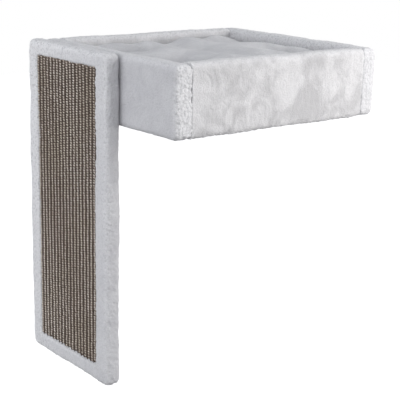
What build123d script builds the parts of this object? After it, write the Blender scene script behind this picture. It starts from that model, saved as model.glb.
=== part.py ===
from build123d import *

import os

# A cat bed for a shelf compartment, with a scratching board that hangs down in front of the shelf.
# Four plush-wrapped wall boards are screwed round a floor board and hold a loose tufted cushion.
# Four bolts hold the scratching board to the front wall. Sizes are in millimetres.
# X runs to the right along the front, Y runs back into the shelf and Z runs up.
# The origin is the middle of the tray's underside.

# Tray: its outer size, its boards and the cloth that closes it underneath
tray_width = 330.0
tray_depth = 370.0
wall_height = 100.0
wall_board = 16.0
floor_board = 16.0
dust_cloth = 0.8

# Plush wrap: how thick its knitted back and pile are, and how far it rolls over an edge
pile = 6.5
edge_roll = 10.0

# Scratching board: its own board, how far it stands above the walls, and where its left edge is
board_width = 210.0
board_height = 480.0
board_core = 12.0
board_rise = 2.0
board_from_left = 0.0

# The board's back: the tray presses its pile flat, and below the tray the pile stands free
free_pile = 1.0
free_pile_from_tray = 0.5

# Sisal mat, glued to the scratching board in a window of its plush
mat_width = 157.0
mat_height = 432.0
mat_from_top = 22.0
mat_back = 1.5
yarn_base = 1.5
rib_rise = 3.0
rib_count = 18
mat_gap = 0.4

# Wood screws, all of one size: shank, head, point, and how far they bite into the second board
screw_radius = 2.0
screw_head_radius = 4.0
screw_point = 5.0
screw_tip_radius = 0.3
screw_bite = 22.5
screw_gap = 0.1
corner_screw_spread = 44.0
floor_screw_spread = 100.0

# Bolts of the scratching board, with their washers and tee nuts
bolt_radius = 3.0
bolt_end_room = 2.6
bolt_head_radius = 7.0
bolt_head = 2.8
socket_width = 4.0
socket_depth = 2.0
washer_radius = 9.0
washer = 1.6
bolt_spread_x = 120.0
bolt_spread_z = 36.0
hole_gap = 0.3
nut_gap = 0.05
nut_flange_radius = 9.5
nut_flange = 1.5
nut_barrel_radius = 4.0
nut_end_room = 1.5
prong_width = 3.5
prong_length = 6.0
prong_count = 4

# Cushion: its room in the tray, its form, its cover and its tufts
cushion_gap = 1.5
cushion_seat_gap = 0.3
cushion_height = 71.0
crown_drop = 8.0
side_draw = 5.0
corner_round = 24.0
top_roll = 18.0
base_roll = 14.0
cover = 4.0
fill_gap = 0.3
tuft_from_side = 72.5
tuft_from_end = 61.5
tuft_flare = 32.0
tuft_foot = 4.0
tuft_pit = 2.0
tie_radius = 0.9
tie_bar = 6.0
tie_gap = 0.1
back_dimple_radius = 5.0
back_dimple = 3.0

# Sizes and places that follow from those above
wall = wall_board + 2 * pile
left, right = -tray_width / 2, tray_width / 2
front, back = -tray_depth / 2, tray_depth / 2
roll = min(edge_roll, 0.45 * wall)
board = board_core + 2 * pile
board_left = left + board_from_left
board_right = board_left + board_width
board_back = front
board_front = board_back - board
board_free_back = board_back + free_pile
board_top = wall_height + board_rise
board_low = board_top - board_height
board_roll = min(edge_roll, 0.45 * board)
board_middle = (board_left + board_right) / 2
core_face = board_front + pile
mat_top = board_top - mat_from_top
mat_low = mat_top - mat_height
mat_left = board_middle - mat_width / 2
mat_right = board_middle + mat_width / 2
wall_middle = wall_height / 2
floor_top = dust_cloth + floor_board
floor_screw_height = (pile + floor_top) / 2
seat = floor_top + pile
screw_length = wall_board + pile + screw_bite
bolt_length = washer + wall_board + 2 * pile + board_core - bolt_end_room
nut_barrel = board_core - nut_flange - nut_end_room
cushion_low = seat + cushion_seat_gap
cushion_top = cushion_low + cushion_height
cushion_half_x = tray_width / 2 - wall - cushion_gap
cushion_half_y = tray_depth / 2 - wall - cushion_gap
crown_radius = (cushion_half_x**2 + crown_drop**2) / (2 * crown_drop)


def slab(x, y, z):
    """A box between two values on each axis."""
    sizes = [high - low for low, high in (x, y, z)]
    return Pos(x[0], y[0], z[0]) * Box(*sizes, align=(Align.MIN,) * 3)


def turned(points):
    """A solid of revolution about Z, from the points of its half section in radius and height."""
    face = make_face(Plane.XZ * Polyline(*points, close=True))
    return revolve(face, Axis.Z)


def facing(shape, point, out):
    """A shape made about Z, moved so that its top is at a point and looks out along a direction."""
    return Plane(origin=point, z_dir=out).location * shape


def wood_screw(gap=0.0):
    """A countersunk wood screw with its head flush at zero, or its flat-ended hole for a gap."""
    shank = screw_radius + gap
    head = screw_head_radius + gap
    tip = shank if gap else screw_tip_radius
    neck = head - shank
    return turned(
        [
            (0, 0),
            (head, 0),
            (shank, -neck),
            (shank, screw_point - screw_length),
            (tip, -screw_length - gap),
            (0, -screw_length - gap),
        ]
    )


def corner_screw_places():
    """Two screws at each corner, from the front and back boards into the ends of the side boards."""
    side = tray_width / 2 - wall / 2
    for x in (-side, side):
        for z in (-corner_screw_spread / 2, corner_screw_spread / 2):
            yield (x, front + pile, wall_middle + z), (0, -1, 0)
            yield (x, back - pile, wall_middle + z), (0, 1, 0)


def floor_screw_places():
    """Three screws through each wall board into the edge of the floor board."""
    for step in (-floor_screw_spread, 0.0, floor_screw_spread):
        for way in (-1, 1):
            side = way * (tray_width / 2 - pile)
            end = way * (tray_depth / 2 - pile)
            yield (side, step, floor_screw_height), (way, 0, 0)
            yield (step, end, floor_screw_height), (0, way, 0)


def bolt_places():
    """The four bolt axes, as X and Z."""
    for x in (-bolt_spread_x / 2, bolt_spread_x / 2):
        for z in (-bolt_spread_z / 2, bolt_spread_z / 2):
            yield board_middle + x, wall_middle + z


def all_at(shape, places):
    """Copies of a shape at each point and direction, as one group of separate solids."""
    return Compound(children=[facing(shape, *place) for place in places])


def cut(solid, *groups):
    """A solid with every solid of the groups taken away."""
    for group in groups:
        solid = solid - group.solids()
    return solid


def screw_holes():
    hole = wood_screw(screw_gap)
    return all_at(hole, corner_screw_places()), all_at(hole, floor_screw_places())


def bolt_holes(radius, y_from, y_to):
    """Round holes on the four bolt axes between two depths."""
    hole = Cylinder(radius, y_to - y_from, align=(Align.CENTER, Align.CENTER, Align.MAX))
    places = [((x, y_to, z), (0, 1, 0)) for x, z in bolt_places()]
    return all_at(hole, places)


def wall_space(name):
    """The X and Y ranges of a wall with its plush. Front and back run across the ends of the sides."""
    return {
        "front": ((left, right), (front, front + wall)),
        "back": ((left, right), (back - wall, back)),
        "left": ((left, left + wall), (front + wall, back - wall)),
        "right": ((right - wall, right), (front + wall, back - wall)),
    }[name]


def wall_core(name):
    """The bare board of a wall, as wide as its plush leaves it."""
    x, y = wall_space(name)
    x = (x[0] + pile, x[1] - pile)
    if name in ("front", "back"):
        y = (y[0] + pile, y[1] - pile)
    return slab(x, y, (pile, wall_height - pile))


def wall_board_part(name):
    holes = [bolt_holes(bolt_radius + hole_gap, front, front + wall)] if name == "front" else []
    return cut(wall_core(name), *screw_holes(), *holes)


def wall_plush(name):
    """The plush round a wall board: a closed cover on the front and back, a sleeve on the sides."""
    x, y = wall_space(name)
    whole = slab(x, y, (0, wall_height))
    if name in ("front", "back"):
        whole = fillet(whole.edges(), roll)
    else:
        whole = fillet(whole.edges().filter_by(Axis.Y), roll)
    holes = []
    if name == "front":
        holes.append(bolt_holes(bolt_radius + hole_gap, front, front + wall))
        holes.append(bolt_holes(washer_radius + hole_gap, front + wall - pile, front + wall))
    return cut(whole - wall_core(name), *screw_holes(), *holes)


def floor_layer(low, high):
    """A layer that fills the space between the four walls, from one height to another."""
    x = (left + wall, right - wall)
    y = (front + wall, back - wall)
    return slab(x, y, (low, high))


def board_core_space():
    x = (board_left + pile, board_right - pile)
    z = (board_low + pile, board_top - pile)
    return slab(x, (core_face, board_back - pile), z)


def board_core_part():
    holes = bolt_holes(bolt_radius + hole_gap, core_face, board_back)
    return cut(board_core_space(), holes, tee_nuts(0.0))


def board_plush():
    """The plush round the scratching board, with a window for the mat and its back pressed by the tray."""
    space = slab((board_left, board_right), (board_front, board_free_back), (board_low, board_top))
    whole = fillet(space.edges(), board_roll)
    pressed = slab((left, right), (board_back, board_free_back), (-free_pile_from_tray, board_top))
    window = slab(
        (mat_left - mat_gap, mat_right + mat_gap),
        (board_front, core_face),
        (mat_low - mat_gap, mat_top + mat_gap),
    )
    holes = bolt_holes(bolt_radius + hole_gap, core_face, board_back)
    return cut(whole - pressed - board_core_space() - window, holes)


def mat_backing():
    return slab((mat_left, mat_right), (core_face - mat_back, core_face), (mat_low, mat_top))


def mat_yarn():
    """Rows of sisal yarn on their woven base, as one corrugated sheet with upright ribs."""
    pitch = mat_width / rib_count
    base = core_face - mat_back
    foot = base - yarn_base
    rows = [
        ThreePointArc(
            (mat_left + i * pitch, foot),
            (mat_left + (i + 0.5) * pitch, foot - rib_rise),
            (mat_left + (i + 1) * pitch, foot),
        )
        for i in range(rib_count)
    ]
    edge = Polyline((mat_right, foot), (mat_right, base), (mat_left, base), (mat_left, foot))
    section = make_face(Curve() + rows + edge)
    return extrude(Pos(0, 0, mat_low) * section, mat_height, dir=(0, 0, 1))


def tee_nut(bore):
    """A tee nut about Z with its flange's outer face at zero. Its prongs and barrel point down."""
    flange = Cylinder(nut_flange_radius, nut_flange, align=(Align.CENTER, Align.CENTER, Align.MAX))
    barrel = Cylinder(
        nut_barrel_radius, nut_flange + nut_barrel, align=(Align.CENTER, Align.CENTER, Align.MAX)
    )
    tooth = make_face(
        Plane.YZ
        * Polyline(
            (-prong_width / 2, -nut_flange),
            (prong_width / 2, -nut_flange),
            (0, -nut_flange - prong_length),
            close=True,
        )
    )
    prong = Pos(nut_flange_radius - 2 * nut_flange, 0, 0) * extrude(tooth, nut_flange)
    nut = flange + barrel
    for i in range(prong_count):
        nut = nut + Rot(0, 0, i * 360 / prong_count) * prong
    if bore:
        nut = nut - Cylinder(bore, 2 * (nut_flange + nut_barrel))
    return nut


def tee_nuts(bore):
    places = [((x, core_face, z), (0, -1, 0)) for x, z in bolt_places()]
    return all_at(tee_nut(bore), places)


def bolts():
    """Socket bolts whose heads lie on the washers, in the plush inside the front wall."""
    shank = Cylinder(bolt_radius, bolt_length, align=(Align.CENTER, Align.CENTER, Align.MAX))
    head = Cylinder(bolt_head_radius, bolt_head, align=(Align.CENTER, Align.CENTER, Align.MIN))
    head = chamfer(head.edges().group_by(Axis.Z)[-1], bolt_head / 3)
    hexagon = RegularPolygon(socket_width / 2, 6, major_radius=False)
    socket = Pos(0, 0, bolt_head - socket_depth) * extrude(hexagon, socket_depth)
    bolt = shank + head - socket
    y = front + wall - pile + washer
    return all_at(bolt, [((x, y, z), (0, 1, 0)) for x, z in bolt_places()])


def washers():
    disc = Cylinder(washer_radius, washer, align=(Align.CENTER, Align.CENTER, Align.MIN))
    ring = disc - Cylinder(bolt_radius + hole_gap, 4 * washer)
    y = front + wall - pile
    return all_at(ring, [((x, y, z), (0, 1, 0)) for x, z in bolt_places()])


def tuft_places():
    """The cushion's four tufts, as X and Y, and the height of the crown there."""
    tuft_x = cushion_half_x - tuft_from_side
    tuft_y = cushion_half_y - tuft_from_end
    for x in (-tuft_x, tuft_x):
        for y in (-tuft_y, tuft_y):
            drop = crown_radius - (crown_radius**2 - x**2 - y**2) ** 0.5
            yield x, y, cushion_top - drop


def cushion_outline(skin):
    """The cushion's outline from above: four drawn-in sides with rounded corners."""
    x = cushion_half_x - skin
    y = cushion_half_y - skin
    sides = [
        ThreePointArc((-x, -y), (0, -y + side_draw), (x, -y)),
        ThreePointArc((x, -y), (x - side_draw, 0), (x, y)),
        ThreePointArc((x, y), (0, y - side_draw), (-x, y)),
        ThreePointArc((-x, y), (-x + side_draw, 0), (-x, -y)),
    ]
    face = make_face(Curve() + sides)
    return fillet(face.vertices(), corner_round - skin)


def tuft_funnel(skin, rim):
    """What a tuft takes out of the top: a trumpet that runs out level with the crown at its rim.

    Inside the cover a plain cone stands behind the trumpet's curve.
    """
    low = rim - tuft_flare
    foot = tuft_foot + skin
    pit = low - tuft_pit - skin
    above = cushion_top + cover
    if skin:
        return turned([(0, pit), (foot, pit), (foot, low), (foot + above - low, above), (0, above)])
    centre = foot + tuft_flare
    slope = tuft_flare * 2**-0.5
    curve = ThreePointArc((foot, low), (centre - slope, low + slope), (centre, rim))
    edge = Polyline((centre, rim), (centre, above), (0, above), (0, pit), (foot, pit), (foot, low))
    return revolve(make_face(Plane.XZ * (Curve() + curve + edge)), Axis.Z)


def cushion_form(skin):
    """The crowned cushion with its tufts, taken in by a skin. Its rolls are bevels inside the cover."""
    soften, tighter = (chamfer, cover) if skin else (fillet, 0.0)
    low = cushion_low + skin
    block = extrude(Pos(0, 0, low) * cushion_outline(skin), cushion_height)
    crown = Pos(0, 0, cushion_top - crown_radius) * Rot(90, 0, 0) * Sphere(crown_radius - skin)
    form = block & crown
    form = soften(form.faces().sort_by(Axis.Z)[-1].edges(), top_roll - tighter)
    form = soften(form.faces().sort_by(Axis.Z)[0].edges(), base_roll - tighter)
    dimple = Cylinder(
        back_dimple_radius + skin, back_dimple + skin, align=(Align.CENTER, Align.CENTER, Align.MIN)
    )
    for x, y, rim in tuft_places():
        form = form - Pos(x, y, 0) * tuft_funnel(skin, rim) - Pos(x, y, cushion_low) * dimple
    return form


def tie(rim, gap):
    """The thread of one tuft, with the bar of stitches at each end."""
    low = cushion_low + back_dimple
    high = rim - tuft_flare - tuft_pit
    thread = Pos(0, 0, low) * Cylinder(
        tie_radius + gap, high - low, align=(Align.CENTER, Align.CENTER, Align.MIN)
    )
    if gap:
        return thread
    bar = Box(tie_bar, 2 * tie_radius, 2 * tie_radius)
    return thread + Pos(0, 0, low - tie_radius) * bar + Pos(0, 0, high + tie_radius) * bar


def ties(gap=0.0):
    return Compound(children=[Pos(x, y, 0) * tie(rim, gap) for x, y, rim in tuft_places()])


def cushion_cover():
    return cut(cushion_form(0.0) - cushion_form(cover), ties(tie_gap))


def cushion_filling():
    return cut(cushion_form(cover + fill_gap), ties(tie_gap))


def parts():
    made = {}
    for name in ("front", "back", "left", "right"):
        made[f"{name}_wall_board"] = wall_board_part(name)
        made[f"{name}_wall_plush"] = wall_plush(name)
    made["dust_cloth"] = floor_layer(0, dust_cloth)
    made["floor_board"] = cut(floor_layer(dust_cloth, floor_top), screw_holes()[1])
    made["floor_plush"] = floor_layer(floor_top, seat)
    made["corner_screws"] = all_at(wood_screw(), corner_screw_places())
    made["floor_screws"] = all_at(wood_screw(), floor_screw_places())
    made["scratching_board"] = board_core_part()
    made["scratching_board_plush"] = board_plush()
    made["sisal_backing"] = mat_backing()
    made["sisal_mat"] = mat_yarn()
    made["board_bolts"] = bolts()
    made["bolt_washers"] = washers()
    made["tee_nuts"] = tee_nuts(bolt_radius + nut_gap)
    made["cushion_cover"] = cushion_cover()
    made["cushion_filling"] = cushion_filling()
    made["tuft_ties"] = ties()
    return made


os.makedirs("parts", exist_ok=True)
for name, shape in parts().items():
    export_step(shape, f"parts/{name}.step")
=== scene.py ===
import math
import random

import bpy
import numpy as np
from mathutils import Matrix, Vector


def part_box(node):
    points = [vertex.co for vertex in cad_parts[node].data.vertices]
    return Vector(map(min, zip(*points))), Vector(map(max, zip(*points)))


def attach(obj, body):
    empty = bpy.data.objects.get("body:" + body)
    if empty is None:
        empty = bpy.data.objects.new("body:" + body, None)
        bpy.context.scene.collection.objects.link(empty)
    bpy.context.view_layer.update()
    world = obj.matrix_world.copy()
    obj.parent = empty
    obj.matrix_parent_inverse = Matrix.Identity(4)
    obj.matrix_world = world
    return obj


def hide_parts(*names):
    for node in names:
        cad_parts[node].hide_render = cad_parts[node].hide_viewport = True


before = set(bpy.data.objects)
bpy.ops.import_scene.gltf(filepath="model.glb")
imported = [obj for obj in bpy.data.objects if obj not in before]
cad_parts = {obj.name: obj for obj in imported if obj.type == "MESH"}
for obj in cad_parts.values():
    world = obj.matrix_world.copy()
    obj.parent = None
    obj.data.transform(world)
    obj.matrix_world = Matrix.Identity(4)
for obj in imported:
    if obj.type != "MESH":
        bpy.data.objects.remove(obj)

# A plush cat bed for a shelf compartment, with a sisal scratching board that hangs in front of it.
# The camera, the lamps and each piece are made in metres in the row's own frame: X to the right
# along the front, Y back into the shelf, Z up, with the origin in the middle of the tray's underside.

MM = 0.001

# Plush: how far it rolls over an edge, how tight it is at a seam, and the cells that carry its pile
edge_roll = 9.5 * MM
seam_roll = 2.6 * MM
sleeve_roll = 1.5 * MM
seam_reach = 1.2 * MM
sleeve_spare = 5 * MM
wall_cell = 1.4 * MM
board_cell = 1.7 * MM
floor_cell = 2.4 * MM

# Pile: the size of its waves, lumps, clumps and curls, how far each moves the surface, the floor's
# flatter clumps, the grain of its tips and the paler colour where it is open, which also lays painted
# highlights
wave_size = 70 * MM
lump_size = 22 * MM
clump_size = 5.5 * MM
curl_size = 3.2 * MM
wave_height = 2.4 * MM
lump_height = 1.6 * MM
clump_height = 0.9 * MM
curl_height = 3.8 * MM
clump_stretch = (1, 1, 1.4)
floor_height = 0.8 * MM
grain_size = 650.0
pile_relief = 0.5
open_and_highlit_colour = (0.86, 0.852, 0.865)

# Where the pile splits: at the ends and the foot of the walls, and round the board
wall_end_split = 7 * MM
sleeve_end_split = 4 * MM
foot_split = 8 * MM
board_edge_split = 5 * MM
face_reach = 9 * MM
corner_reach = 10 * MM

# Wells for the bolt heads, and the window for the mat, which grips its sides and clears its ends
well_gap = 0.4 * MM
well_start = 6 * MM
well_depth = 30 * MM
window_grip = 0.8 * MM
window_spare = 0.8 * MM
window_open = 5 * MM

# Dust cloth: its lap over the foot of the walls and its small waves
cloth_lap = 5.5 * MM
cloth_wave = 0.5 * MM
cloth_cuts = 40

# Cushion: cells of the simulated cloth, how it swells, how it is drawn in and pressed, its tufts
# and its folds
cloth_cell = 4.5 * MM
swell_frames = 18
swell_limit = 7 * MM
cloth_pressure = 2.5
swell_room = 1 * MM
cushion_inset = 5 * MM
cushion_roll = 8 * MM
cushion_press = 0.9 * MM
cushion_lump = 1.0 * MM
cushion_clump = 0.6 * MM
corner_drop = 3 * MM
side_draw = 3.5 * MM
tuft_across = 62 * MM
tuft_along = 93 * MM
tuft_floor = 57 * MM
tuft_wide = 32 * MM
tuft_narrow = 17 * MM
wide_share = 0.4
tuft_grip = 9 * MM
dimple_rise = 4 * MM
# The reach of the painted shade in the hollows round each tuft
hollow_shade_wide = 21 * MM
fold_count = 7
fold_reach = 34 * MM
fold_height = 2.8 * MM

# Where the cushion's filling has shifted: a dip across its middle, deeper at the left, the nest that
# a cat has pressed, and plump or thin spots, each with its place, its reach and its rise
dip_along = -12 * MM
dip_wide = 25 * MM
dip_deep = 11 * MM
nest_deep = 6 * MM
nest_share = 0.3
plump_spots = {
    "back_left": ((-116 * MM, 110 * MM), 32 * MM, 7 * MM),
    "front_left": ((-108 * MM, -98 * MM), 34 * MM, 4 * MM),
    "back_right": ((55 * MM, 134 * MM), 46 * MM, 5 * MM),
    "back_corner": ((-90 * MM, 152 * MM), 24 * MM, -5 * MM),
}

# A curved crease in the nap of the right wall: the middle of its arc along Y and Z, its size, and
# the angles between which it runs, in radians
crease_middle = (-143 * MM, 69 * MM)
crease_radius = 17.5 * MM
crease_wide = 2.2 * MM
crease_deep = 0.9 * MM
crease_reach = 5 * MM
crease_start = -0.5
crease_end = 1.7
crease_fade = 0.4

# Sisal: ribs across the mat, the yarn's loops along a rib, how far each loop leans down, how uneven
# the loops and the ribs are, and the ground cloth behind them
rib_count = 18
loop_pitch = 3.7 * MM
loop_lean = 3.6 * MM
yarn_radius = 1.5 * MM
yarn_sides = 6
yarn_steps = 4
loop_foot = 1.2 * MM
loop_sizes = (0.93, 1.07)
loop_stray = (0.3, 0.25, 0.35)
rib_stretch = (-0.005, 0.004)
loop_proud = 0.3 * MM
tone_spread = 0.3
ground_spare = 1.5 * MM
ground_wave = 0.6 * MM
ground_cuts = 60

# Camera, worked out from the tray's and the board's corners
camera_place = (1.2492, -1.0064, 0.2874)
camera_turn = 51.4
camera_tilt = -14.9
camera_roll = 1.2
camera_lens = 97.8
sensor_width = 36.0

# Stage: a floor far below the bed
stage_drop = 1.1
stage_size = 14


def only(piece):
    """Selects one piece and nothing else."""
    if bpy.context.object and bpy.context.object.mode != "OBJECT":
        bpy.ops.object.mode_set(mode="OBJECT")
    bpy.ops.object.select_all(action="DESELECT")
    piece.select_set(True)
    bpy.context.view_layer.objects.active = piece


def shape_with(piece, kind, **settings):
    """Puts one modifier on a piece and applies it."""
    only(piece)
    modifier = piece.modifiers.new(kind.lower(), kind)
    for setting, value in settings.items():
        setattr(modifier, setting, value)
    bpy.ops.object.modifier_apply(modifier=modifier.name)


def cut_up(piece, cuts):
    """Divides every edge of a piece by a number of cuts."""
    only(piece)
    bpy.ops.object.mode_set(mode="EDIT")
    bpy.ops.mesh.select_all(action="SELECT")
    bpy.ops.mesh.subdivide(number_cuts=cuts)
    bpy.ops.object.mode_set(mode="OBJECT")


def block(name, low, high):
    """A box between two corners, with its place in its mesh."""
    low, high = Vector(low), Vector(high)
    bpy.ops.object.select_all(action="DESELECT")
    bpy.ops.mesh.primitive_cube_add(size=1, location=(low + high) / 2, scale=high - low)
    bpy.ops.object.transform_apply(location=True, rotation=True, scale=True)
    piece = bpy.context.object
    piece.name = name
    return piece


def cut_away(piece, tool):
    """Takes the tool's shape out of a piece and deletes the tool."""
    shape_with(piece, "BOOLEAN", operation="DIFFERENCE", object=tool, solver="EXACT")
    bpy.data.objects.remove(tool)


def soft_block(name, low, high, roll_at):
    """A box whose edges are rounded, each by the roll that roll_at gives for its middle and direction."""
    piece = block(name, low, high)
    mesh = piece.data
    weights = mesh.attributes.new("bevel_weight_edge", "FLOAT", "EDGE")
    for edge in mesh.edges:
        a, b = (mesh.vertices[i].co for i in edge.vertices)
        weights.data[edge.index].value = roll_at((a + b) / 2, (b - a).normalized()) / edge_roll
    shape_with(piece, "BEVEL", width=edge_roll, segments=6, limit_method="WEIGHT")
    return piece


def grow_cells(piece, cell, smoothing=4):
    """Rebuilds a piece in even cells that can carry the pile, and smooths the steps away."""
    shape_with(piece, "REMESH", mode="VOXEL", voxel_size=cell, adaptivity=0)
    shape_with(piece, "SMOOTH", factor=0.5, iterations=smoothing)


def cloud(name, size, depth):
    """A cloudy texture that ruffle moves a surface by."""
    texture = bpy.data.textures.new(name, "CLOUDS")
    texture.noise_scale = size
    texture.noise_depth = depth
    return texture


def ruffle(piece, texture, strength, group="", stretch=None):
    """Moves the surface in and out by a cloud texture, which can be stretched along an axis."""
    settings = {"texture": texture, "strength": strength, "mid_level": 0.5, "vertex_group": group}
    guide = None
    if stretch:
        guide = bpy.data.objects.new("nap_guide", None)
        bpy.context.scene.collection.objects.link(guide)
        guide.scale = stretch
        settings.update(texture_coords="OBJECT", texture_coords_object=guide)
        bpy.context.view_layer.update()
    shape_with(piece, "DISPLACE", **settings)
    if guide:
        bpy.data.objects.remove(guide)


def points_of(piece):
    """The piece's vertices as an array of rows."""
    flat = np.empty(len(piece.data.vertices) * 3, np.float32)
    piece.data.vertices.foreach_get("co", flat)
    return flat.reshape(-1, 3)


def put_points(piece, points):
    """Moves the piece's vertices to the rows of an array."""
    piece.data.vertices.foreach_set("co", np.ascontiguousarray(points, np.float32).ravel())
    piece.data.update()


def weigh(piece, name, weights):
    """A vertex group whose weights are worked out for every vertex, in sixteen steps."""
    group = piece.vertex_groups.new(name=name)
    steps = np.round(np.clip(weights, 0, 1) * 16).astype(int)
    for step in range(1, 17):
        group.add(np.flatnonzero(steps == step).tolist(), step / 16, "REPLACE")
    return group


def smooth(share):
    """A share from 0 to 1, eased at both ends."""
    share = np.clip(share, 0, 1)
    return share * share * (3 - 2 * share)


def near(values, place, reach):
    """One at a place and fading smoothly to zero at a reach from it."""
    return smooth(1 - np.abs(values - place) / reach)


def mark(piece, name, values):
    """Stores a value from 0 to 1 at every vertex, for the material."""
    attribute = piece.data.attributes.new(name, "FLOAT", "POINT")
    attribute.data.foreach_set("value", np.clip(values, 0, 1).astype(np.float32))


def finish_piece(piece, body, material, slot, *nodes):
    """Smooth shading, the material, the body that the piece rides on and the nodes that it stands for."""
    only(piece)
    bpy.ops.object.shade_smooth()
    piece.vertex_groups.clear()
    piece.data.materials.clear()
    piece.data.materials.append(material)
    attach(piece, body)
    if nodes:
        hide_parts(*nodes)
    return piece


# Node helpers
def new_material(name):
    """A material, its node tree and its shader."""
    material = bpy.data.materials.new(name)
    material.use_nodes = True
    shader = material.node_tree.nodes["Principled BSDF"]
    return material, material.node_tree, shader


def node(tree, kind, **values):
    """A node with its settings and the values of its unlinked inputs."""
    made = tree.nodes.new(kind)
    for name, value in values.items():
        if name in made.inputs:
            made.inputs[name].default_value = value
        else:
            setattr(made, name, value)
    return made


def group_tree(name, inputs, outputs):
    """A node group with named inputs and outputs, where the inputs are floats with a default."""
    tree = bpy.data.node_groups.new(name, "ShaderNodeTree")
    for label, default in inputs.items():
        socket = tree.interface.new_socket(label, in_out="INPUT", socket_type="NodeSocketFloat")
        socket.default_value = default
    for label, kind in outputs.items():
        tree.interface.new_socket(label, in_out="OUTPUT", socket_type=kind)
    return tree, tree.nodes.new("NodeGroupInput"), tree.nodes.new("NodeGroupOutput")


def place_group(tree, group, **values):
    """A node group placed in a material, with its own values."""
    made = tree.nodes.new("ShaderNodeGroup")
    made.node_tree = group
    for name, value in values.items():
        made.inputs[name].default_value = value
    return made


def noise(tree, vector, scale, detail, roughness):
    """The value of a noise pattern over a vector."""
    made = node(tree, "ShaderNodeTexNoise", Scale=scale, Detail=detail, Roughness=roughness)
    tree.links.new(vector, made.inputs["Vector"])
    return made.outputs["Fac"]


def remap(tree, value, low, high, to_low=0.0, to_high=1.0):
    """A value eased from one range to another."""
    made = tree.nodes.new("ShaderNodeMapRange")
    made.interpolation_type = "SMOOTHSTEP"
    tree.links.new(value, made.inputs["Value"])
    for name, number in (("From Min", low), ("From Max", high), ("To Min", to_low), ("To Max", to_high)):
        made.inputs[name].default_value = number
    return made.outputs["Result"]


def math_node(tree, operation, first, second):
    """One sum on two values, each a number or a socket."""
    made = tree.nodes.new("ShaderNodeMath")
    made.operation = operation
    for socket, value in zip(made.inputs, (first, second)):
        if isinstance(value, (int, float)):
            socket.default_value = value
        else:
            tree.links.new(value, socket)
    return made.outputs["Value"]


def mix_colour(tree, factor, first, second):
    """A colour between two, each a colour or a socket."""
    made = tree.nodes.new("ShaderNodeMix")
    made.data_type = "RGBA"
    tree.links.new(factor, made.inputs["Factor"])
    for name, value in (("A", first), ("B", second)):
        socket = next(s for s in made.inputs if s.name == name and s.type == "RGBA")
        if isinstance(value, tuple):
            socket.default_value = (*value, 1)
        else:
            tree.links.new(value, socket)
    return next(s for s in made.outputs if s.type == "RGBA")


def object_vector(tree, stretch=(1, 1, 1)):
    """The place on the object, scaled along its axes."""
    place = tree.nodes.new("ShaderNodeTexCoord").outputs["Object"]
    mapping = tree.nodes.new("ShaderNodeMapping")
    mapping.inputs["Scale"].default_value = stretch
    tree.links.new(place, mapping.inputs["Vector"])
    return mapping.outputs["Vector"]


def bump(tree, shader, height, strength, distance):
    """Fine relief on the shader, from a height."""
    made = node(tree, "ShaderNodeBump", Strength=strength, Distance=distance)
    tree.links.new(height, made.inputs["Height"])
    tree.links.new(made.outputs["Normal"], shader.inputs["Normal"])


def nap_group():
    """Nap: broad patches where the pile leans another way, and the fine grain of its tips."""
    tree, given, out = group_tree(
        "nap",
        {"Patch size": 30.0, "Grain size": 600.0},
        {"Patches": "NodeSocketFloat", "Grain": "NodeSocketFloat", "Height": "NodeSocketFloat"},
    )
    vector = object_vector(tree, (1, 1, 0.8))
    patches = node(tree, "ShaderNodeTexNoise", Detail=3.0, Roughness=0.5, Distortion=1.0)
    tree.links.new(vector, patches.inputs["Vector"])
    tree.links.new(given.outputs["Patch size"], patches.inputs["Scale"])
    grain = node(tree, "ShaderNodeTexNoise", Detail=2.0, Roughness=0.65)
    tree.links.new(vector, grain.inputs["Vector"])
    tree.links.new(given.outputs["Grain size"], grain.inputs["Scale"])
    soft = remap(tree, patches.outputs["Fac"], 0.32, 0.68)
    fine = remap(tree, grain.outputs["Fac"], 0.3, 0.7)
    height = math_node(tree, "ADD", math_node(tree, "MULTIPLY", soft, 0.6), fine)
    tree.links.new(soft, out.inputs["Patches"])
    tree.links.new(fine, out.inputs["Grain"])
    tree.links.new(height, out.inputs["Height"])
    return tree


nap = nap_group()


def plush_material(name, dark, light, patch_size=26.0):
    """Short-pile plush: its nap leans between two greys, and open pile is paler and curls. The paler
    colour also stands for painted highlights, and a darker colour for painted shade in the grain, between
    the curls and in the tuft hollows.
    """
    material, tree, shader = new_material(name)
    group = place_group(tree, nap, **{"Patch size": patch_size, "Grain size": grain_size})
    colour = mix_colour(tree, group.outputs["Patches"], dark, light)
    open_and_highlit_pile = node(tree, "ShaderNodeAttribute", attribute_name="open_and_highlit_pile").outputs["Fac"]
    # Paler where the pile is open; where the mark comes from the tops, the board's face and the back and
    # left walls, the paler colour is painted light.
    colour = mix_colour(tree, open_and_highlit_pile, colour, open_and_highlit_colour)
    # Painted shade in the fine grain between the pile's tips.
    shade = remap(tree, group.outputs["Grain"], 0.0, 1.0, 0.0, 0.2)
    painted_shade_colour = tuple(0.55 * channel for channel in dark)
    colour = mix_colour(tree, shade, colour, painted_shade_colour)
    # Painted shade in the hollows round the cushion's tufts.
    pressed = node(tree, "ShaderNodeAttribute", attribute_name="tuft_hollow_shade").outputs["Fac"]
    colour = mix_colour(tree, math_node(tree, "MULTIPLY", pressed, 0.85), colour, painted_shade_colour)
    # Painted shade between the curls where the pile is open; the curls also raise the bump.
    curls = noise(tree, object_vector(tree), 300.0, 3.0, 0.6)
    between = math_node(tree, "MULTIPLY", remap(tree, curls, 0.36, 0.5, 0.45, 0.0), open_and_highlit_pile)
    colour = mix_colour(tree, between, colour, painted_shade_colour)
    tree.links.new(colour, shader.inputs["Base Color"])
    shader.inputs["Roughness"].default_value = 0.95
    shader.inputs["Specular IOR Level"].default_value = 0.15
    shader.inputs["Sheen Weight"].default_value = 0.35
    shader.inputs["Sheen Roughness"].default_value = 0.45
    raised = math_node(tree, "MULTIPLY", math_node(tree, "MULTIPLY", curls, open_and_highlit_pile), 2.5)
    height = math_node(tree, "ADD", group.outputs["Height"], raised)
    bump(tree, shader, height, pile_relief, 1.2 * MM)
    return material


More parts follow.
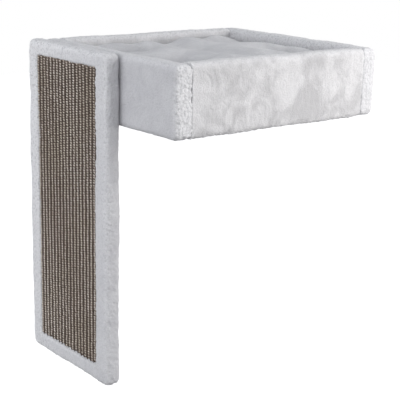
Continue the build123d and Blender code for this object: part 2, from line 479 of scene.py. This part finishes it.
def sisal_material():
    """Twisted sisal yarn: fibres along the strand, each loop of its own tone, with painted shade where it
    dips.
    """
    material, tree, shader = new_material("sisal_yarn")
    tone = node(tree, "ShaderNodeAttribute", attribute_name="yarn_tone").outputs["Fac"]
    depth = node(tree, "ShaderNodeAttribute", attribute_name="yarn_foot_shade").outputs["Fac"]
    fibres = noise(tree, object_vector(tree, (0.35, 1, 1)), 1400.0, 3.0, 0.7)
    colour = mix_colour(tree, tone, (0.56, 0.465, 0.4), (0.96, 0.87, 0.79))
    colour = mix_colour(tree, remap(tree, fibres, 0.3, 0.75, 0.0, 0.3), colour, (0.36, 0.28, 0.225))
    bands = remap(tree, noise(tree, object_vector(tree), 16.0, 3.0, 0.6), 0.4, 0.65, 0.0, 0.4)
    colour = mix_colour(tree, bands, colour, (0.62, 0.54, 0.41))
    # Painted shade, darkest at the foot of each loop.
    colour = mix_colour(tree, remap(tree, depth, 0.0, 0.5), (0.1, 0.075, 0.06), colour)
    tree.links.new(colour, shader.inputs["Base Color"])
    shader.inputs["Roughness"].default_value = 0.85
    shader.inputs["Specular IOR Level"].default_value = 0.25
    bump(tree, shader, fibres, 0.6, 0.5 * MM)
    return material


def backing_material():
    """The mat's coarse jute ground, which shows dark between the ribs."""
    material, tree, shader = new_material("jute_ground")
    vector = object_vector(tree)
    weave = tree.nodes.new("ShaderNodeTexWave")
    weave.bands_direction = "Z"
    weave.inputs["Scale"].default_value = 320.0
    weave.inputs["Distortion"].default_value = 1.5
    tree.links.new(vector, weave.inputs["Vector"])
    colour = mix_colour(tree, weave.outputs["Fac"], (0.1, 0.075, 0.06), (0.24, 0.19, 0.15))
    tree.links.new(colour, shader.inputs["Base Color"])
    shader.inputs["Roughness"].default_value = 0.9
    bump(tree, shader, weave.outputs["Fac"], 0.6, 0.6 * MM)
    return material


def chipboard_material():
    """Bare chipboard: pale flakes of wood pressed in darker glue."""
    material, tree, shader = new_material("chipboard")
    flakes = node(tree, "ShaderNodeTexVoronoi", Scale=260.0, Randomness=1.0)
    tree.links.new(object_vector(tree, (1, 1, 0.45)), flakes.inputs["Vector"])
    separate = tree.nodes.new("ShaderNodeSeparateColor")
    tree.links.new(flakes.outputs["Color"], separate.inputs["Color"])
    colour = mix_colour(tree, separate.outputs["Red"], (0.36, 0.24, 0.13), (0.68, 0.52, 0.34))
    tree.links.new(colour, shader.inputs["Base Color"])
    shader.inputs["Roughness"].default_value = 0.75
    bump(tree, shader, flakes.outputs["Distance"], 0.3, 0.3 * MM)
    return material


def steel_material(name, base):
    """Zinc-plated steel, slightly clouded."""
    material, tree, shader = new_material(name)
    clouding = noise(tree, object_vector(tree), 420.0, 4.0, 0.6)
    worn = tuple(0.7 * channel for channel in base)
    colour = mix_colour(tree, remap(tree, clouding, 0.3, 0.7), base, worn)
    tree.links.new(colour, shader.inputs["Base Color"])
    tree.links.new(remap(tree, clouding, 0.2, 0.8, 0.22, 0.42), shader.inputs["Roughness"])
    shader.inputs["Metallic"].default_value = 1.0
    return material


def thread_material():
    """Waxed thread: two plies that wind round each other."""
    material, tree, shader = new_material("tuft_thread")
    plies = tree.nodes.new("ShaderNodeTexWave")
    plies.bands_direction = "DIAGONAL"
    plies.inputs["Scale"].default_value = 700.0
    tree.links.new(object_vector(tree), plies.inputs["Vector"])
    colour = mix_colour(tree, plies.outputs["Fac"], (0.3, 0.3, 0.32), (0.55, 0.55, 0.58))
    tree.links.new(colour, shader.inputs["Base Color"])
    shader.inputs["Roughness"].default_value = 0.6
    bump(tree, shader, plies.outputs["Fac"], 0.5, 0.2 * MM)
    return material


def dust_cloth_material():
    """Black non-woven cloth with its pressed pattern of small points."""
    material, tree, shader = new_material("dust_cloth")
    vector = object_vector(tree)
    points = node(tree, "ShaderNodeTexVoronoi", Scale=420.0, Randomness=0.15)
    tree.links.new(vector, points.inputs["Vector"])
    pressed = remap(tree, points.outputs["Distance"], 0.15, 0.4)
    fibres = noise(tree, vector, 900.0, 4.0, 0.7)
    colour = mix_colour(tree, fibres, (0.012, 0.012, 0.013), (0.05, 0.05, 0.054))
    tree.links.new(colour, shader.inputs["Base Color"])
    shader.inputs["Roughness"].default_value = 0.8
    shader.inputs["Sheen Weight"].default_value = 0.2
    bump(tree, shader, pressed, 0.5, 0.3 * MM)
    return material


# Plush pieces
wave_texture = cloud("wave", wave_size, 1)
lump_texture = cloud("lump", lump_size, 2)
clump_texture = cloud("clump", clump_size, 2)
curl_texture = cloud("curl", curl_size, 1)


def open_splits_and_highlit_top(points, share, top):
    """The pile is open and paler where it splits; the paler colour along the top is partly open pile and
    partly a painted highlight.
    """
    return 0.75 * share + 0.55 * top


def pile_over(piece, split, open_and_lit_share=open_splits_and_highlit_top):
    """Gives a plush piece its slow waves, leaning clumps and, where it splits, open curls."""
    ruffle(piece, wave_texture, wave_height)
    ruffle(piece, lump_texture, lump_height)
    ruffle(piece, clump_texture, clump_height, stretch=clump_stretch)
    points = points_of(piece)
    share = split(points)
    weigh(piece, "split", share)
    top = near(points[:, 2], points[:, 2].max(), edge_roll)
    # Paler open pile at the splits, with a painted highlight along the top and wherever the given share
    # adds it.
    mark(piece, "open_and_highlit_pile", open_and_lit_share(points, share, top))
    ruffle(piece, curl_texture, curl_height, group="split")


def washer_boxes():
    """The low and the high corner of each bolt's washer."""
    washers = points_of(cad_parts["bolt_washers"])
    middle = washers.mean(axis=0)
    for across in (-1, 1):
        side = washers[np.sign(washers[:, 0] - middle[0]) == across]
        for up in (-1, 1):
            quarter = side[np.sign(side[:, 2] - middle[2]) == up]
            yield quarter.min(axis=0), quarter.max(axis=0)


def make_full_wall(side, material):
    """Front or back wall: closed over its ends, tight at the seams with the side walls."""
    node_name = f"{side}_wall_plush"
    low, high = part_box(node_name)
    inner = high.y if side == "front" else low.y

    def roll(middle, along):
        at_seam = abs(along.z) > 0.5 and abs(middle.y - inner) < MM
        return seam_roll if at_seam else edge_roll

    def split(points):
        ends = near(points[:, 0], low.x, wall_end_split) + near(points[:, 0], high.x, wall_end_split)
        return 0.12 + (ends if side == "front" else 0.35 * ends)

    def open_and_lit_share(points, share, top):
        # The back wall is paler all over, a painted lightening of its shaded inner face, with a painted
        # highlight along its top.
        return open_splits_and_highlit_top(points, share, top) if side == "front" else 0.65 + 0.2 * top

    piece = soft_block(f"{side}_wall_cover", low, high, roll)
    if side == "front":
        for washer_low, washer_high in washer_boxes():
            cut_away(piece, well_tool(washer_low, washer_high))
    grow_cells(piece, wall_cell)
    pile_over(piece, split, open_and_lit_share)
    hollow_out(piece, f"{side}_wall_board")
    return finish_piece(piece, "tray", material, "plush", node_name)


def well_tool(low, high):
    """What a bolt's well takes out of the plush: a cylinder round the washer."""
    radius = (high[0] - low[0]) / 2 + well_gap
    middle = (low + high) / 2
    place = (middle[0], low[1] + well_start, middle[2])
    bpy.ops.object.select_all(action="DESELECT")
    bpy.ops.mesh.primitive_cylinder_add(
        vertices=32, radius=radius, depth=well_depth, location=place, rotation=(math.pi / 2, 0, 0)
    )
    bpy.ops.object.transform_apply(location=True, rotation=True, scale=True)
    return bpy.context.object


def hollow_out(piece, board, longer=(0, 0, 0)):
    """Leaves room in the plush for the board inside it. A longer room is open at its ends."""
    low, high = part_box(board)
    cut_away(piece, block("core", low - Vector(longer), high + Vector(longer)))


def crease_nap(piece, outside):
    """Presses a curved crease into the nap of a side wall's outer face."""
    points = points_of(piece)
    along = points[:, 1] - crease_middle[0]
    above = points[:, 2] - crease_middle[1]
    angle = np.arctan2(above, along)
    line = near(np.hypot(along, above), crease_radius, crease_wide)
    stretch = smooth((angle - crease_start) / crease_fade) * smooth((crease_end - angle) / crease_fade)
    points[:, 0] -= crease_deep * line * stretch * near(points[:, 0], outside, crease_reach)
    put_points(piece, points)


def make_side_wall(side, material):
    """Left or right wall: a sleeve whose ends butt against the front and back walls."""
    node_name = f"{side}_wall_plush"
    low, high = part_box(node_name)

    def roll(middle, along):
        return edge_roll if abs(along.y) > 0.5 else sleeve_roll

    def split(points):
        hem = near(points[:, 2], low.z, foot_split) * 0.5
        ends = near(points[:, 1], low.y, sleeve_end_split) + near(points[:, 1], high.y, sleeve_end_split)
        return 0.1 + hem + 0.5 * ends

    def open_and_lit_share(points, share, top):
        # The left wall is paler than the right, a painted lightening of its shaded inner face.
        return open_splits_and_highlit_top(points, share, top) + (0.2 if side == "left" else 0)

    reach = Vector((0, seam_reach, 0))
    piece = soft_block(f"{side}_wall_cover", low - reach, high + reach, roll)
    grow_cells(piece, wall_cell)
    pile_over(piece, split, open_and_lit_share)
    if side == "right":
        crease_nap(piece, high.x)
    hollow_out(piece, f"{side}_wall_board", (0, sleeve_spare, 0))
    return finish_piece(piece, "tray", material, "plush", node_name)


def make_board_cover(material):
    """The scratching board's plush, with a soft-edged window round the sisal."""
    low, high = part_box("scratching_board_plush")
    mat_low, mat_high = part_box("sisal_mat")
    reach = board_edge_split

    def split(points):
        sides = near(points[:, 0], low.x, reach) + near(points[:, 0], high.x, reach)
        ends = near(points[:, 2], low.z, foot_split) + near(points[:, 2], high.z, reach)
        rim_x = near(points[:, 0], mat_low.x, reach) + near(points[:, 0], mat_high.x, reach)
        rim_z = near(points[:, 2], mat_low.z, reach) + near(points[:, 2], mat_high.z, reach)
        window_rim = (rim_x + rim_z) * near(points[:, 1], low.y, face_reach)
        return 0.1 + 0.8 * sides + 0.5 * ends + 0.6 * window_rim

    def open_and_lit_share(points, share, top):
        corner = near(points[:, 0], high.x, corner_reach) * near(points[:, 1], low.y, corner_reach)
        across = (points[:, 0] - low.x) / (high.x - low.x)
        down = (high.z - points[:, 2]) / (high.z - low.z)
        face = near(points[:, 1], low.y, face_reach)
        # The face is paler towards its left and its top, a painted falloff of light from the left, and
        # the top edge is a painted highlight; the splits and the front right corner are open pile.
        return face * (1.02 - 0.58 * across - 0.2 * down**2) + 0.6 * top + 0.12 * share + 0.35 * corner

    piece = soft_block("scratching_board_cover", low, high, lambda middle, along: edge_roll)
    rim = Vector((-window_grip, 0, window_spare))
    window_low = mat_low - rim
    window_low.y = low.y - window_open
    cut_away(piece, block("window", window_low, mat_high + rim))
    grow_cells(piece, board_cell)
    pile_over(piece, split, open_and_lit_share)
    hollow_out(piece, "scratching_board")
    return finish_piece(piece, "tray", material, "plush", "scratching_board_plush")


def make_floor_cover(material):
    """The plush over the floor, under the cushion."""
    low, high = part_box("floor_plush")
    piece = soft_block("floor_cover", low, high, lambda middle, along: sleeve_roll)
    grow_cells(piece, floor_cell, 2)
    ruffle(piece, clump_texture, floor_height)
    return finish_piece(piece, "tray", material, "plush", "floor_plush")


def make_dust_cloth(material):
    """The thin cloth under the floor, pulled tight and lapped over the foot of the walls."""
    low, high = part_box("dust_cloth")
    lap = Vector((cloth_lap, cloth_lap, 0))
    low, high = low - lap, high + lap
    piece = block("dust_cloth_sheet", low, high)
    cut_up(piece, cloth_cuts)
    ruffle(piece, lump_texture, cloth_wave)
    finish_piece(piece, "tray", material, "dust_cloth", "dust_cloth")
    return piece


def tuft_centres():
    """The place of each tuft along X and Y."""
    for across in (-tuft_across, tuft_across):
        for along in (-tuft_along, tuft_along):
            yield across, along


def pull_tufts(points, low, high):
    """Draws the top down to the stitches of each tuft, and the underside a little way up."""
    upper = smooth((points[:, 2] - low.z) / (high.z - low.z))
    depth = high.z - tuft_floor
    for across, along in tuft_centres():
        away = np.hypot(points[:, 0] - across, points[:, 1] - along)
        wide = np.exp(-((away / tuft_wide) ** 2))
        narrow = np.exp(-((away / tuft_narrow) ** 2))
        points[:, 2] -= depth * upper * (wide_share * wide + (1 - wide_share) * narrow)
        dimple = np.exp(-((away / (0.7 * tuft_narrow)) ** 2))
        points[:, 2] += dimple_rise * (1 - upper) * dimple
    return points


def draw_in_sides(points, low, high):
    """Draws the sides in between the corners and lowers the corners a little."""
    middle = (low + high) / 2
    half = (high - low) / 2
    across = (points[:, 0] - middle.x) / half.x
    along = (points[:, 1] - middle.y) / half.y
    upper = np.clip((points[:, 2] - low.z) / (high.z - low.z), 0, 1)
    points[:, 2] -= upper * corner_drop * across**4 * along**4
    points[:, 0] -= side_draw * across * (1 - along**2)
    points[:, 1] -= side_draw * along * (1 - across**2)
    return points


def swell(piece):
    """Blows the cushion up as cloth that is held at its tufts and moves no further than its limit."""
    start = points_of(piece)
    held = np.zeros(len(start))
    for across, along in tuft_centres():
        away = np.hypot(start[:, 0] - across, start[:, 1] - along)
        held = np.maximum(held, smooth(1.6 - away / tuft_grip))
    weigh(piece, "held", held)
    only(piece)
    cloth = piece.modifiers.new("cloth", "CLOTH")
    cloth.settings.quality = 6
    cloth.settings.mass = 0.25
    cloth.settings.tension_stiffness = 12
    cloth.settings.compression_stiffness = 8
    cloth.settings.bending_stiffness = 0.4
    cloth.settings.use_pressure = True
    cloth.settings.uniform_pressure_force = cloth_pressure
    cloth.settings.shrink_min = -0.035
    cloth.settings.vertex_group_mass = "held"
    cloth.settings.effector_weights.gravity = 0
    cloth.collision_settings.use_collision = False
    scene = bpy.context.scene
    for frame_number in range(1, swell_frames + 1):
        scene.frame_set(frame_number)
    bpy.ops.object.modifier_apply(modifier=cloth.name)
    scene.frame_set(1)
    moved = points_of(piece) - start
    length = np.linalg.norm(moved, axis=1, keepdims=True)
    moved *= np.minimum(1, swell_limit / np.maximum(length, 1e-9))
    put_points(piece, start + moved)


def keep_inside(points, low, high):
    """Presses the cushion flat where it meets the tray's walls and floor."""
    for axis in (0, 1):
        points[:, axis] = np.clip(points[:, axis], low[axis], high[axis])
    points[:, 2] = np.maximum(points[:, 2], low[2])
    return points


def shift_filling(points, low, high):
    """Lowers the top across the middle and in the nest, and raises or lowers it at the plump spots."""
    upper = smooth((points[:, 2] - low.z) / (high.z - low.z))
    across = (points[:, 0] - low.x) / (high.x - low.x)
    nest_x = nest_share * (high.x - low.x)
    nest_y = nest_share * (high.y - low.y)
    nest = np.exp(-((points[:, 0] / nest_x) ** 2) - (points[:, 1] / nest_y) ** 2)
    dip = np.exp(-(((points[:, 1] - dip_along) / dip_wide) ** 2)) * (1 - 0.6 * across)
    points[:, 2] -= upper * (dip_deep * dip + nest_deep * nest)
    for (spot_x, spot_y), reach, rise in plump_spots.values():
        away = np.hypot(points[:, 0] - spot_x, points[:, 1] - spot_y)
        points[:, 2] += upper * rise * np.exp(-((away / reach) ** 2))
    return points


def fold_tufts(points, low, high):
    """Small folds that run out from each tuft and die away."""
    dice = random.Random(5)
    upper = smooth((points[:, 2] - low.z) / (high.z - low.z) * 2 - 0.6)
    for across, along in tuft_centres():
        turn = dice.uniform(0, math.tau)
        side = points[:, 0] - across
        ahead = points[:, 1] - along
        away = np.hypot(side, ahead)
        angle = np.arctan2(ahead, side)
        uneven = 0.6 * np.sin(2 * angle + turn) + 0.4 * np.sin(3 * angle - turn)
        wave = np.cos(fold_count * angle + 1.3 * uneven + turn)
        fade = smooth(away / tuft_grip) * np.exp(-away / fold_reach)
        points[:, 2] += upper * fold_height * fade * wave * (1 + 0.5 * uneven)
    return points


def mark_tuft_hollow_shade(piece, low, high):
    """Stores the painted shade in the hollows where the tufts press the pile, for the material."""
    points = points_of(piece)
    share = np.zeros(len(points))
    for across, along in tuft_centres():
        away = np.hypot(points[:, 0] - across, points[:, 1] - along)
        share += np.exp(-((away / hollow_shade_wide) ** 2))
    share *= smooth((points[:, 2] - low.z) / (high.z - low.z) * 2 - 0.4)
    mark(piece, "tuft_hollow_shade", share)


def make_cushion(material):
    """The cushion: a tufted pad that swells as cloth and is pressed in between the tray's walls."""
    low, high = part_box("cushion_cover")
    inset = Vector((cushion_inset, cushion_inset, 0))
    lower = Vector((0, 0, swell_room))
    piece = soft_block("cushion", low + inset, high - inset - lower, lambda middle, along: cushion_roll)
    grow_cells(piece, cloth_cell, 7)
    put_points(piece, pull_tufts(draw_in_sides(points_of(piece), low, high), low, high))
    swell(piece)
    press = np.array((cushion_press, cushion_press, 0))
    room_low = np.array(low) - press
    room_high = np.array(high) + press
    points = shift_filling(keep_inside(points_of(piece), room_low, room_high), low, high)
    put_points(piece, fold_tufts(points, low, high))
    shape_with(piece, "SUBSURF", levels=1, render_levels=1)
    ruffle(piece, lump_texture, cushion_lump)
    ruffle(piece, clump_texture, cushion_clump)
    put_points(piece, keep_inside(points_of(piece), room_low, room_high))
    mark_tuft_hollow_shade(piece, low, high)
    finish_piece(piece, "cushion", material, "cushion_plush", "cushion_cover", "cushion_filling")
    return piece


# Sisal
def yarn_loop():
    """One loop of yarn that arches over a rib, its left foot higher than its right."""
    reach = (rib_pitch() - 2 * yarn_radius) / 2
    bpy.ops.object.select_all(action="DESELECT")
    bpy.ops.mesh.primitive_circle_add(
        vertices=yarn_sides, radius=yarn_radius, location=(-reach, 0, 0), rotation=(math.pi / 2, 0, 0)
    )
    bpy.ops.object.transform_apply(location=True, rotation=True, scale=True)
    loop = bpy.context.object
    bpy.ops.object.mode_set(mode="EDIT")
    bpy.ops.mesh.select_all(action="SELECT")
    bpy.ops.mesh.spin(steps=yarn_steps, angle=math.pi, center=(0, 0, 0), axis=(0, 0, 1))
    bpy.ops.mesh.select_all(action="SELECT")
    bpy.ops.mesh.fill_holes(sides=0)
    bpy.ops.mesh.select_all(action="SELECT")
    bpy.ops.mesh.normals_make_consistent(inside=False)
    bpy.ops.object.mode_set(mode="OBJECT")
    points = points_of(loop)
    points[:, 2] -= loop_lean * points[:, 0] / (2 * reach)
    put_points(loop, points)
    return loop


def rib_pitch():
    """How far apart the ribs stand across the mat."""
    low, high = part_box("sisal_mat")
    return (high.x - low.x) / rib_count


def lay_rib(master, number, loops, dice):
    """A copy of the row of loops on its rib. Every second rib is half a loop higher, and each loop is
    a little out of line and has its own tone."""
    low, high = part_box("sisal_mat")
    rib = master.copy()
    rib.data = master.data.copy()
    bpy.context.scene.collection.objects.link(rib)
    points = points_of(rib).reshape(loops, -1, 3)
    in_loop = points.shape[1]
    crest = points[:, :, 1].min()
    height = np.clip(points[:, :, 1] / crest, 0, 1)
    points *= dice.uniform(*loop_sizes, (loops, 1, 1)) ** np.array((1, 1, 0))
    points += dice.uniform(-1, 1, (loops, 1, 3)) * np.array(loop_stray) * MM
    row = np.arange(loops)
    sway = 0.35 * MM * np.sin(row * 0.11 + number * 1.7) + 0.2 * MM * np.sin(row * 0.31 + number * 0.6)
    middle = (low.z + high.z) / 2
    points[:, :, 2] = middle + (points[:, :, 2] - middle) * (1 + dice.uniform(*rib_stretch))
    points[:, :, 2] += (number % 2 - 0.5) * loop_pitch / 2
    points[:, :, 0] += sway[:, None] + low.x + (number + 0.5) * rib_pitch()
    points[:, :, 1] += high.y - loop_foot - yarn_radius
    points[:, :, 1] = np.maximum(points[:, :, 1], low.y - loop_proud)
    put_points(rib, points.reshape(-1, 3))
    band = 0.5 + 0.22 * np.sin(row * 0.045 + number * 0.35) + 0.1 * np.sin(row * 0.17 + 1.9 * number)
    tone = band + dice.uniform(-tone_spread, tone_spread, loops)
    mark(rib, "yarn_tone", np.repeat(tone, in_loop))
    # How high each point stands on its loop, for the painted shade at its foot.
    mark(rib, "yarn_foot_shade", height.ravel())
    return rib


def make_sisal(yarn, ground):
    """The mat: a coarse ground cloth, and on it upright ribs of looped yarn."""
    low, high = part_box("sisal_mat")
    dice = np.random.default_rng(18)
    loops = round((high.z - low.z) / loop_pitch)
    master = yarn_loop()
    shape_with(
        master,
        "ARRAY",
        count=loops,
        use_relative_offset=False,
        use_constant_offset=True,
        constant_offset_displace=(0, 0, (high.z - low.z) / loops),
    )
    points = points_of(master)
    points[:, 2] += low.z + loop_pitch / 2
    put_points(master, points)
    ribs = [lay_rib(master, number, loops, dice) for number in range(rib_count)]
    bpy.data.objects.remove(master)
    only(ribs[0])
    for rib in ribs:
        rib.select_set(True)
    bpy.ops.object.join()
    mat = bpy.context.object
    mat.name = "sisal_ribs"
    finish_piece(mat, "tray", yarn, "sisal", "sisal_mat")
    ground_low = (low.x, high.y - loop_foot, low.z - ground_spare)
    ground_high = (high.x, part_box("sisal_backing")[1].y, high.z + ground_spare)
    cloth = block("sisal_ground", ground_low, ground_high)
    cut_up(cloth, ground_cuts)
    ruffle(cloth, clump_texture, ground_wave)
    return finish_piece(cloth, "tray", ground, "sisal_backing", "sisal_backing")


materials = {
    "plush": plush_material("plush", (0.565, 0.558, 0.585), (0.635, 0.63, 0.65)),
    "side": plush_material("side_plush", (0.54, 0.53, 0.54), (0.75, 0.738, 0.748), 28.0),
    "cushion": plush_material("cushion_plush", (0.6, 0.594, 0.615), (0.69, 0.684, 0.7)),
    "sisal": sisal_material(),
    "ground": backing_material(),
    "chipboard": chipboard_material(),
    "bolt": steel_material("bolt_zinc", (0.66, 0.67, 0.68)),
    "screw": steel_material("screw_zinc", (0.7, 0.6, 0.36)),
    "thread": thread_material(),
    "dust": dust_cloth_material(),
}

node_finish = {
    "front_wall_board": "chipboard",
    "back_wall_board": "chipboard",
    "left_wall_board": "chipboard",
    "right_wall_board": "chipboard",
    "floor_board": "chipboard",
    "scratching_board": "chipboard",
    "corner_screws": "screw",
    "floor_screws": "screw",
    "board_bolts": "bolt",
    "bolt_washers": "bolt",
    "tee_nuts": "bolt",
    "tuft_ties": "thread",
}

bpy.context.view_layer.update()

for node_name, finish in node_finish.items():
    for material_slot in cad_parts[node_name].material_slots:
        material_slot.material = materials[finish]

for side in ("front", "back"):
    make_full_wall(side, materials["plush"])
for side in ("left", "right"):
    make_side_wall(side, materials["side"])
make_board_cover(materials["plush"])
make_floor_cover(materials["plush"])
make_dust_cloth(materials["dust"])
make_cushion(materials["cushion"])
make_sisal(materials["sisal"], materials["ground"])


# Camera, lamps and stage
def make_camera():
    """The camera at its place, turned from +Y to the left, tilted and rolled."""
    turn, tilt, roll = (math.radians(v) for v in (camera_turn, camera_tilt, camera_roll))
    ahead = Vector((-math.sin(turn) * math.cos(tilt), math.cos(turn) * math.cos(tilt), math.sin(tilt)))
    across = Vector((math.cos(turn), math.sin(turn), 0))
    above = across.cross(ahead)
    right = across * math.cos(roll) + above * math.sin(roll)
    up = above * math.cos(roll) - across * math.sin(roll)
    data = bpy.data.cameras.new("camera")
    data.lens = camera_lens
    data.sensor_width = sensor_width
    camera = bpy.data.objects.new("camera", data)
    bpy.context.scene.collection.objects.link(camera)
    turned = Matrix((right, up, -ahead)).transposed()
    camera.matrix_world = Matrix.Translation(camera_place) @ turned.to_4x4()
    bpy.context.scene.camera = camera


def lamp(name, azimuth, elevation, distance, size, power, colour):
    """A square lamp that looks at the tray from an azimuth and elevation in degrees."""
    data = bpy.data.lights.new(name, "AREA")
    data.size = size
    data.energy = power
    data.color = colour
    made = bpy.data.objects.new(name, data)
    bpy.context.scene.collection.objects.link(made)
    turn, rise = math.radians(azimuth), math.radians(elevation)
    away = Vector((math.sin(turn) * math.cos(rise), -math.cos(turn) * math.cos(rise), math.sin(rise)))
    made.location = away * distance
    made.rotation_mode = "QUATERNION"
    made.rotation_quaternion = away.to_track_quat("Z", "Y")


def make_world():
    """Soft light from all round, seen as plain white by the camera and in reflections."""
    world = bpy.data.worlds.new("studio")
    bpy.context.scene.world = world
    world.use_nodes = True
    tree = world.node_tree
    sky = tree.nodes["Background"]
    sky.inputs["Color"].default_value = (0.93, 0.96, 1.0, 1)
    sky.inputs["Strength"].default_value = 0.63
    white = node(tree, "ShaderNodeBackground", Strength=1.0)
    white.inputs["Color"].default_value = (1, 1, 1, 1)
    path = tree.nodes.new("ShaderNodeLightPath")
    seen = math_node(tree, "MAXIMUM", path.outputs["Is Camera Ray"], path.outputs["Is Glossy Ray"])
    seen = math_node(tree, "MAXIMUM", seen, path.outputs["Is Transmission Ray"])
    mix = tree.nodes.new("ShaderNodeMixShader")
    tree.links.new(seen, mix.inputs["Fac"])
    tree.links.new(sky.outputs["Background"], mix.inputs[1])
    tree.links.new(white.outputs["Background"], mix.inputs[2])
    tree.links.new(mix.outputs["Shader"], tree.nodes["World Output"].inputs["Surface"])


def make_floor():
    """A pale floor far below the bed, which hangs on its shelf."""
    bpy.ops.object.select_all(action="DESELECT")
    bpy.ops.mesh.primitive_plane_add(size=stage_size, location=(0, 0, -stage_drop))
    floor = bpy.context.object
    floor.name = "floor"
    material, tree, shader = new_material("pale_floor")
    shader.inputs["Base Color"].default_value = (0.3, 0.3, 0.3, 1)
    shader.inputs["Roughness"].default_value = 0.9
    path = tree.nodes.new("ShaderNodeLightPath")
    seen = math_node(tree, "MAXIMUM", path.outputs["Is Camera Ray"], path.outputs["Is Glossy Ray"])
    shader.inputs["Emission Color"].default_value = (1, 1, 1, 1)
    tree.links.new(math_node(tree, "MULTIPLY", seen, 0.9), shader.inputs["Emission Strength"])
    floor.data.materials.append(material)


make_camera()
make_world()
make_floor()
lamp("key", 130, 10, 1.1, 0.8, 9.6, (1.0, 0.985, 0.965))
lamp("right", 80, 10, 2.2, 1.2, 6.4, (1.0, 0.985, 0.97))
lamp("left", -8, 5, 1.4, 1.2, 6.3, (0.97, 0.98, 1.0))
lamp("front", 10, 15, 3.0, 2.4, 10.5, (0.97, 0.98, 1.0))
bpy.context.scene.view_settings.view_transform = "Standard"
